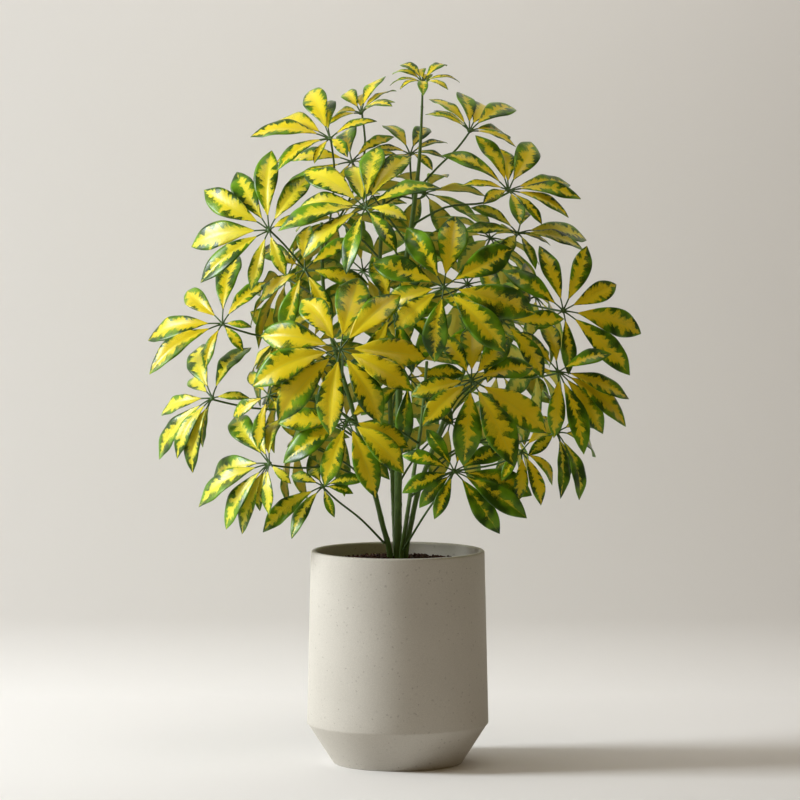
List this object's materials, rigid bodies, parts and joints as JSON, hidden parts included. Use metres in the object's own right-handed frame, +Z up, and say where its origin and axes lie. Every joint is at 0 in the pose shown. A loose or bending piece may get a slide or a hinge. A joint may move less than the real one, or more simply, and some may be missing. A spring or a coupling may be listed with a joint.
{
  "type": "potted umbrella plant",
  "caption": "Variegated umbrella plant: canes with fans of yellow and green leaflets, growing in potting mix in a tapered stoneware pot that stands on its flat base.",
  "frame": {"origin": "middle of the pot's flat base, where it stands", "axes": "+Z up along the pot's axis, -Y towards the plant's front, +X to the right seen from the front"},
  "size_m": [0.5528, 0.3711, 0.7808],
  "materials": {
    "stoneware": "matte",
    "potting_mix": "matte",
    "cane_bark": "satin",
    "foliage": "satin"
  },
  "bodies": {
    "root": {"pot": "stoneware", "soil": "potting_mix", "trunk": "cane_bark", "cane_left": "cane_bark", "cane_right": "cane_bark", "cane_back": "cane_bark", "cane_front": "cane_bark", "leaf_01": "foliage", "leaf_02": "foliage", "leaf_03": "foliage", "leaf_04": "foliage", "leaf_05": "foliage", "leaf_06": "foliage", "leaf_07": "foliage", "leaf_08": "foliage", "leaf_09": "foliage", "leaf_10": "foliage", "leaf_11": "foliage", "leaf_12": "foliage", "leaf_13": "foliage", "leaf_14": "foliage", "leaf_15": "foliage", "leaf_16": "foliage", "leaf_17": "foliage", "leaf_18": "foliage", "leaf_19": "foliage", "leaf_20": "foliage", "leaf_21": "foliage", "leaf_22": "foliage", "leaf_23": "foliage", "leaf_24": "foliage", "leaf_25": "foliage", "leaf_26": "foliage", "leaf_27": "foliage", "leaf_28": "foliage", "leaf_29": "foliage", "leaf_30": "foliage", "leaf_31": "foliage", "leaf_32": "foliage", "leaf_33": "foliage", "leaf_34": "foliage", "leaf_35": "foliage", "leaf_36": "foliage", "leaf_37": "foliage", "leaf_38": "foliage", "leaf_39": "foliage", "leaf_40": "foliage", "leaf_41": "foliage", "leaf_42": "foliage", "leaf_43": "foliage", "leaf_44": "foliage", "leaf_45": "foliage"}
  },
  "joints": []
}
